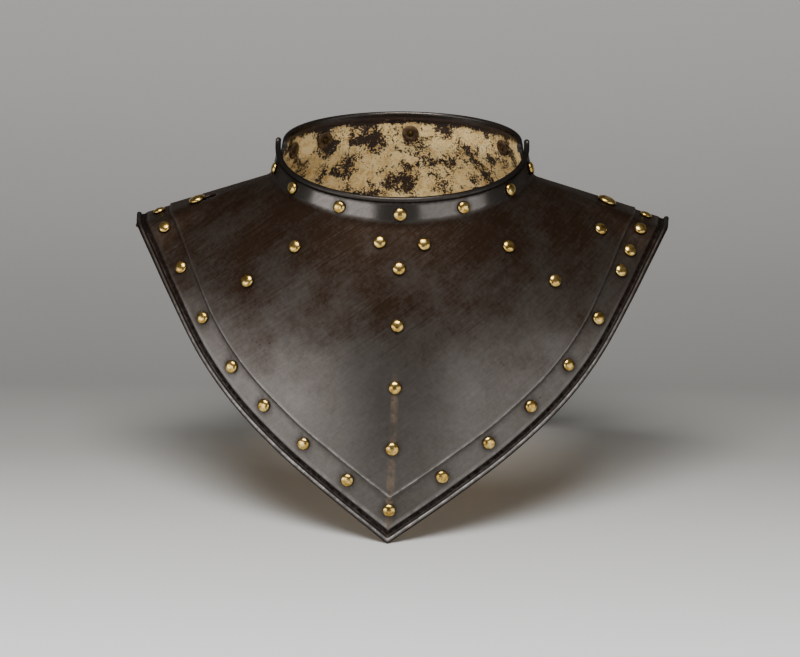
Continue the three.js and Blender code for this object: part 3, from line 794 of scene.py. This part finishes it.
def russetSteel():
    # russeted carbon steel, scoured and waxed: satin grey metal that shows through a dark brown oxide
    f = steelFinish
    material, tree = newMaterial("russetSteel")
    space = add(tree, "ShaderNodeTexCoord").outputs["Object"]
    polish = attribute(tree, "polish")
    cloud = cloudy(tree, space, f["cloudMm"], 4.0, 0.6)
    speck = cloudy(tree, space, f["speckMm"], 5.0, 0.75)
    broken = spread(tree, cloudy(tree, space, f["breakMm"], 3.0, 0.7), 0.42, 0.6, 0.15, 1.0)

    # brush strokes in three directions
    brushed = 0.0
    along = perMetre(f["scratchLengthMm"])
    for row in f["strokes"]:
        laid = add(tree, "ShaderNodeMapping", None, {"Vector": space, "Rotation": (0.0, row["turn"], 0.0)})
        thin = add(tree, "ShaderNodeMapping", None, {
            "Vector": laid.outputs[0], "Scale": (along, along, perMetre(f["scratchWidthMm"]))})
        stroke = add(tree, "ShaderNodeTexNoise", None,
                     {"Vector": thin.outputs[0], "Scale": 1.0, "Detail": 3.0, "Roughness": 0.6})
        brushed = plus(tree, times(tree, stroke.outputs[0], row["share"]), brushed)

    # oxide: patchy, thin along the strokes and thick on the shoulders; the darker top is partly painted shade
    cover = plus(tree, times(tree, cloud, f["cloudWeight"]), times(tree, speck, f["speckWeight"]))
    cover = plus(tree, cover, times(tree, brushed, f["strokeWeight"]))
    height = add(tree, "ShaderNodeSeparateXYZ", None, {0: space}).outputs["Z"]
    height = plus(tree, height, times(tree, cloud, f["russetWaver"]))
    middle = f["russetWaver"] / 2
    high = spread(tree, height, f["russetAndShadeFrom"] + middle, f["russetAndShadeTo"] + middle, smooth=True)
    left = combine(tree, "SUBTRACT", high, polish)
    oxide = spread(tree, plus(tree, cover, times(tree, left, f["russetAndShadeWeight"])), *f["coverRange"])
    base = mixColour(tree, oxide, colour(f["metal"]), colour(f["oxide"]))

    # rust on the keel
    rusty = times(tree, times(tree, attribute(tree, "ridge"), broken),
                  spread(tree, speck, 0.36, 0.64, 0.3, 0.95))
    base = mixColour(tree, rusty, base, colour(f["rust"]))

    # dirt and painted shade in corners, dirt in a few pits
    pits = add(tree, "ShaderNodeTexVoronoi", {"feature": "F1"},
               {"Vector": space, "Scale": perMetre(f["pitSpacingMm"])}).outputs["Distance"]
    pitted = times(tree, spread(tree, pits, 0.04, 0.12, 1.0, 0.0), spread(tree, cloud, 0.5, 0.6))
    packedDirtAndShade = times(tree, attribute(tree, "grime"), spread(tree, speck, 0.3, 0.6, 0.6, 1.0))
    dirtAndShadeMask = combine(tree, "MAXIMUM", packedDirtAndShade, times(tree, pitted, 0.6))
    base = mixColour(tree, dirtAndShadeMask, base, colour(f["dirtAndShadeColour"]))

    # bright metal on rubbed edges, also painting the highlight along the step, the rolls and the keyhole,
    # stronger low down
    rubbedAndHighlight = times(tree, attribute(tree, "wear"), spread(tree, speck, 0.36, 0.6, 0.3, 1.1))
    rubbedAndHighlight = times(tree, rubbedAndHighlight, plus(tree, times(tree, broken, 0.6), 0.4))
    base = mixColour(tree, rubbedAndHighlight, base, colour(f["wornAndHighlight"]))

    rough = spread(tree, brushed, 0.4, 0.6, *f["roughness"])
    rough = add(tree, "ShaderNodeMix", None, {0: polish, 2: rough, 3: f["collarRoughness"]}).outputs[0]
    rough = plus(tree, rough, times(tree, oxide, f["oxideRoughness"]))
    dull = combine(tree, "SUBTRACT", dirtAndShadeMask, rubbedAndHighlight, True)
    rough = plus(tree, rough, times(tree, dull, f["dirtRoughness"]), True)
    relief = plus(tree, times(tree, brushed, 0.6), times(tree, speck, 0.35))
    relief = times(tree, relief, combine(tree, "SUBTRACT", 1.0, times(tree, polish, 0.75)))
    relief = combine(tree, "SUBTRACT", relief, times(tree, pitted, 0.3))
    bare, oxidised = f["metallic"]
    surface(tree, {"Base Color": base, "Roughness": rough, "Normal": raised(tree, relief, 0.3, f["reliefMm"]),
                   "Metallic": spread(tree, oxide, toLow=bare, toHigh=oxidised),
                   "Specular IOR Level": f["waxLevel"], "Specular Tint": colour(f["grazing"])})
    return material


coatingFinish = {
    "cream": "#f8d795",
    "pale": "#fae6ba",
    "stain": "#c09350",
    "bareSteel": "#33241c",
    "deepest": "#1d1512",
    "rusty": "#6a5138",
    "dirtAndShadeColour": "#15100d",
    "blotchMm": 13.0,
    "blotchWeight": 0.36,       # what each pattern adds to the loss
    "flakeMm": 4.5,
    "flakeWeight": 0.36,
    "crumbMm": 1.1,
    "crumbWeight": 0.28,
    "bareWeight": 0.5,
    "lossRange": (0.512, 0.524),    # whole paint at the first value, none at the second
    "roughness": (0.82, 0.5),   # paint and bare steel
    "reliefMm": 0.3,
}


def flakingCoating():
    # old oil paint over bare steel: chalky cream where it holds, dark brown where it has flaked
    f = coatingFinish
    material, tree = newMaterial("flakingCoating")
    space = add(tree, "ShaderNodeTexCoord").outputs["Object"]
    blotch = cloudy(tree, space, f["blotchMm"], 2.5, 0.55, 0.6)
    flake = cloudy(tree, space, f["flakeMm"], 8.0, 0.8, 0.3)
    crumb = cloudy(tree, space, f["crumbMm"], 3.0, 0.7)
    lost = plus(tree, times(tree, blotch, f["blotchWeight"]), times(tree, flake, f["flakeWeight"]))
    lost = plus(tree, lost, times(tree, crumb, f["crumbWeight"]))
    lost = plus(tree, lost, times(tree, attribute(tree, "bare"), f["bareWeight"]))
    lost = spread(tree, lost, *f["lossRange"])
    paint = ramp(tree, flake, [(0.35, f["stain"]), (0.5, f["cream"]), (0.68, f["pale"])])
    under = ramp(tree, flake, [(0.3, f["deepest"]), (0.55, f["bareSteel"]), (0.75, f["rusty"])])
    base = mixColour(tree, lost, paint, under)
    # dirt and painted shade, from the plates' marks
    base = mixColour(tree, times(tree, attribute(tree, "grime"), 0.8), base, colour(f["dirtAndShadeColour"]))
    chalky, smooth = f["roughness"]
    relief = plus(tree, times(tree, lost, -1.0), times(tree, flake, 0.5))
    surface(tree, {"Base Color": base, "Metallic": 0.0, "Specular IOR Level": 0.35,
                   "Roughness": spread(tree, lost, toLow=chalky, toHigh=smooth),
                   "Normal": raised(tree, relief, 0.8, f["reliefMm"])})
    return material


brassFinish = {
    "bright": "#e2c67c",
    "body": "#b08d46",
    "tarnish": "#715526",
    "dirtAndShadeColour": "#2a1c0e",
    "tarnishMm": 2.6,
    "roughness": (0.19, 0.27),
    "reliefMm": 0.1,
}


def polishedBrass():
    # yellow brass polished by handling: warm and bright, with dirt and painted shade round the rim
    f = brassFinish
    material, tree = newMaterial("polishedBrass")
    space = add(tree, "ShaderNodeTexCoord").outputs["Object"]
    cloud = cloudy(tree, space, f["tarnishMm"], 4.0, 0.65)
    base = ramp(tree, cloud, [(0.3, f["tarnish"]), (0.45, f["body"]), (0.62, f["bright"])])
    # dirt and painted shade: darker towards the dome's lower rim
    rim = spread(tree, attribute(tree, "crown"), 0.12, 0.42, 0.9, 0.0)
    base = mixColour(tree, rim, base, colour(f["dirtAndShadeColour"]))
    clean, dull = f["roughness"]
    rough = plus(tree, spread(tree, cloud, 0.3, 0.7, dull, clean), times(tree, rim, 0.3), True)
    surface(tree, {"Base Color": base, "Metallic": 1.0, "Roughness": rough,
                   "Normal": raised(tree, cloud, 0.25, f["reliefMm"])})
    return material


ironFinish = {
    "dark": "#2b1f19",
    "body": "#54402f",
    "rusty": "#8a6f4c",
    "grainMm": 3.0,
    "roughness": (0.6, 0.85),
    "reliefMm": 0.2,
}


def blackenedIron():
    # wrought iron discs, blackened: dull, brown where they rust
    f = ironFinish
    material, tree = newMaterial("blackenedIron")
    space = add(tree, "ShaderNodeTexCoord").outputs["Object"]
    cloud = cloudy(tree, space, f["grainMm"], 5.0, 0.7)
    base = ramp(tree, cloud, [(0.3, f["dark"]), (0.5, f["body"]), (0.7, f["rusty"])])
    smooth, dull = f["roughness"]
    surface(tree, {"Base Color": base, "Metallic": 0.7,
                   "Roughness": spread(tree, cloud, toLow=smooth, toHigh=dull),
                   "Normal": raised(tree, cloud, 0.5, f["reliefMm"])})
    return material


print("materials")
steelMaterial = russetSteel()
coatingMaterial = flakingCoating()
brassMaterial = polishedBrass()
ironMaterial = blackenedIron()

# The shapes
print("plates")
frontPiece = makePlate("frontPlateSteel", frontPlate, fineness["frontSpokes"],
                       list(frontSeats.values()) + [pivotSeat, studSeat],
                       (steelMaterial, coatingMaterial), (lobeSeat,))
backPiece = makePlate("backPlateSteel", backPlate, fineness["backSpokes"], list(backSeats.values()),
                      (steelMaterial, coatingMaterial))

print("holes")
clearance = fastenings["clearance"]
slotWidth = (fastenings["studShank"] + clearance) * 2
behind = studSeat["point"].copy()
behind.y = gorget["frontReach"] * 0.2
cutWith(frontPiece, drillBit(lobeSeat, fastenings["keyholeRadius"]))
cutWith(frontPiece, drillBit(studSeat, fastenings["studShank"] + clearance))
cutWith(frontPiece, slotBit(studSeat, slotWidth, lobeSeat["point"]))
cutWith(frontPiece, slotBit(studSeat, slotWidth, behind))
cutWith(frontPiece, drillBit(pivotSeat, fastenings["pivotShank"] + clearance))
cutWith(backPiece, drillBit(pivotSeat, fastenings["pivotShank"] + clearance))
cutWith(backPiece, tongueWaste(1, fastenings["pivotY"]))
cutWith(backPiece, tongueWaste(-1, fastenings["studY"]))

print("rivets")
pieces = {"front_plate": frontPiece, "back_plate": backPiece}
for name, seat in frontSeats.items():
    pieces[name] = makeRivet(name + "_dome", seat, 0.0)
for name, seat in backSeats.items():
    # these shanks reach through a washer
    backing = washers["backing"] if name.startswith("back_collar") else 0.0
    pieces[name] = makeRivet(name + "_dome", seat, backing)
for i in range(len(rivets["backCollar"])):
    seat = backSeats[f"back_collar_rivet_{i + 1}"]
    top = -gorget["steel"] - washers["gap"]
    low = top - washers["thickness"]
    hole = rivets["shankRadius"] + clearance
    outer = washers["radius"] * (1 + random.uniform(-washers["unevenSize"], washers["unevenSize"]))
    profile = [(hole, top), (hole, low), (outer - 0.3, low), (outer, low + 0.3), (outer, top), (hole, top)]
    name = f"back_collar_washer_{i + 1}"
    pieces[name] = turnedPiece(name + "_disc", seat, profile, fineness["ringSides"])

steel = gorget["steel"]
backOuter = -steel - gorget["plateGap"]
loose = fastenings["looseness"]


def fastenerRows(shank, radius, height, start):
    # inner head, shank and dome
    inner = fastenings["innerHeadRadius"]
    top = backOuter - steel - loose
    low = top - fastenings["innerHeadHeight"]
    rows = [(0, low), (inner * 0.7, low), (inner * 0.93, low + 0.3), (inner, top),
            (shank, top), (shank, start)]
    return rows + domeRows(radius, height, start)


pivotRows = fastenerRows(fastenings["pivotShank"], fastenings["pivotHeadRadius"],
                         fastenings["pivotHeadHeight"], fastenings["pivotGap"])
pieces["pivot_rivet"] = turnedPiece("pivot_rivet_dome", pivotSeat, pivotRows, fineness["headSides"],
                                    crown=fastenings["pivotHeadHeight"])
hole = fastenings["pivotShank"] + clearance
outer = fastenings["spacerRadius"]
spacerRows = [(hole, backOuter + loose), (outer, backOuter + loose), (outer, -steel - loose),
              (hole, -steel - loose), (hole, backOuter + loose)]
pieces["pivot_spacer"] = turnedPiece("pivot_spacer_ring", pivotSeat, spacerRows, fineness["ringSides"])
studRows = fastenerRows(fastenings["studShank"], fastenings["studHeadRadius"],
                        fastenings["studHeadHeight"], fastenings["studGap"])
pieces["locking_stud"] = turnedPiece("locking_stud_dome", studSeat, studRows, fineness["headSides"],
                                     crown=fastenings["studHeadHeight"])

print("finishes")
bodyOf = {node: body for body, nodes in frame["record"]["behaviour"]["bodies"].items() for node in nodes}
for node, piece in pieces.items():
    if not node.endswith("plate"):
        piece.data.materials.append(ironMaterial if "washer" in node else brassMaterial)
    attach(piece, bodyOf[node])
    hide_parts(node)

# Studio: pale floor that runs up into a backdrop, and soft light
studio = {
    "front": -5.0, "bend": 1.8, "bendRadius": 0.5, "height": 0.6, "halfWidth": 8.0,
    "paperFrom": -0.4, "paperTo": 1.6,       # the paper's shades lie between these, as y in metres
    "paperLightAndShade": [(0.07, "#e8e8e6"), (0.16, "#c0c0be"), (0.225, "#94938f"), (0.29, "#7a7976"), (0.4, "#8b8a87"),
              (0.58, "#aaa9a6"), (0.9, "#d9d9d6")],
    "room": "#9c9893", "roomStrength": 0.38,
    "sensorWidth": 36,
    "camera": {"elevation": 17.0, "azimuth": 0.9, "roll": 0.25, "distance": 2.2, "viewWidth": 0.4622},
    "aim": (0.0, 0.015, 0.0996),       # a point on the neck axis
    "aimPixel": (401.7, 308.8),        # where the photo shows it
    "imageSize": (800, 657),
}


def makeSweep():
    mesh = bmesh.new()
    rows = [(studio["front"], 0.0), (-1.0, 0.0), (0.0, 0.0), (studio["bend"], 0.0)]
    for k in range(1, 13):
        angle = math.pi / 2 * k / 12
        rows.append((studio["bend"] + studio["bendRadius"] * math.sin(angle),
                     studio["bendRadius"] * (1 - math.cos(angle))))
    rows.append((studio["bend"] + studio["bendRadius"], studio["height"]))
    strips = [[mesh.verts.new((side * studio["halfWidth"], y, z)) for side in (-1, 1)] for y, z in rows]
    for first, second in zip(strips, strips[1:]):
        mesh.faces.new((first[0], first[1], second[1], second[0])).smooth = True
    return meshObject("studioSweep", mesh)


def sweepPaper():
    # matt background paper with painted light and shade: paler towards the front, darkest in a painted shadow
    # band just behind the object, paler again towards the back
    material, tree = newMaterial("backgroundPaper")
    space = add(tree, "ShaderNodeTexCoord").outputs["Object"]
    split = add(tree, "ShaderNodeSeparateXYZ", None, {0: space}).outputs["Y"]
    base = ramp(tree, spread(tree, split, studio["paperFrom"], studio["paperTo"]), studio["paperLightAndShade"])
    surface(tree, {"Base Color": base, "Roughness": 0.9})
    return material


def makeCamera():
    view = studio["camera"]
    elevation, azimuth = math.radians(view["elevation"]), math.radians(view["azimuth"])
    back = Vector((math.sin(azimuth) * math.cos(elevation), -math.cos(azimuth) * math.cos(elevation),
                   math.sin(elevation)))
    right = Vector((math.cos(azimuth), math.sin(azimuth), 0))
    up = back.cross(right)
    roll = math.radians(view["roll"])
    level = right
    right = level * math.cos(roll) + up * math.sin(roll)
    up = up * math.cos(roll) - level * math.sin(roll)
    width, height = studio["imageSize"]
    metresPerPixel = view["viewWidth"] / width
    offRight = (studio["aimPixel"][0] - width / 2) * metresPerPixel
    offUp = (height / 2 - studio["aimPixel"][1]) * metresPerPixel
    centre = Vector(studio["aim"]) - right * offRight - up * offUp
    data = bpy.data.cameras.new("camera")
    data.sensor_width = studio["sensorWidth"]
    data.lens = studio["sensorWidth"] * view["distance"] / view["viewWidth"]
    data.clip_end = 50
    camera = bpy.data.objects.new("camera", data)
    bpy.context.scene.collection.objects.link(camera)
    matrix = Matrix((right, up, back)).transposed().to_4x4()
    matrix.translation = centre + back * view["distance"]
    camera.matrix_world = matrix
    bpy.context.scene.camera = camera


lights = [
    {"name": "key", "at": (-0.15, -0.95, 2.05), "to": 0.1, "size": (1.4, 1.0), "watts": 68,
     "colour": "#ffffff"},
    {"name": "leftBox", "at": (-1.61, -1.35, 0.4), "to": 0.1, "size": (2.2, 0.76), "watts": 19.5,
     "colour": "#f6f8ff"},
    {"name": "rightBox", "at": (1.46, -1.53, 0.4), "to": 0.1, "size": (2.3, 0.76), "watts": 11.5,
     "colour": "#f6f8ff"},
]


def makeLight(row):
    data = bpy.data.lights.new(row["name"], "AREA")
    data.shape = "RECTANGLE"
    data.size, data.size_y = row["size"]
    data.energy = row["watts"]
    data.color = colour(row["colour"])[:3]
    light = bpy.data.objects.new(row["name"], data)
    bpy.context.scene.collection.objects.link(light)
    light.location = row["at"]
    way = Vector((0, 0, row["to"])) - Vector(row["at"])
    light.rotation_euler = way.to_track_quat("-Z", "Y").to_euler()


print("studio")
sweep = makeSweep()
sweep.data.materials.append(sweepPaper())
makeCamera()
for row in lights:
    makeLight(row)
world = bpy.data.worlds.new("room")
world.use_nodes = True
background = world.node_tree.nodes["Background"]
background.inputs["Color"].default_value = colour(studio["room"])
background.inputs["Strength"].default_value = studio["roomStrength"]
bpy.context.scene.world = world
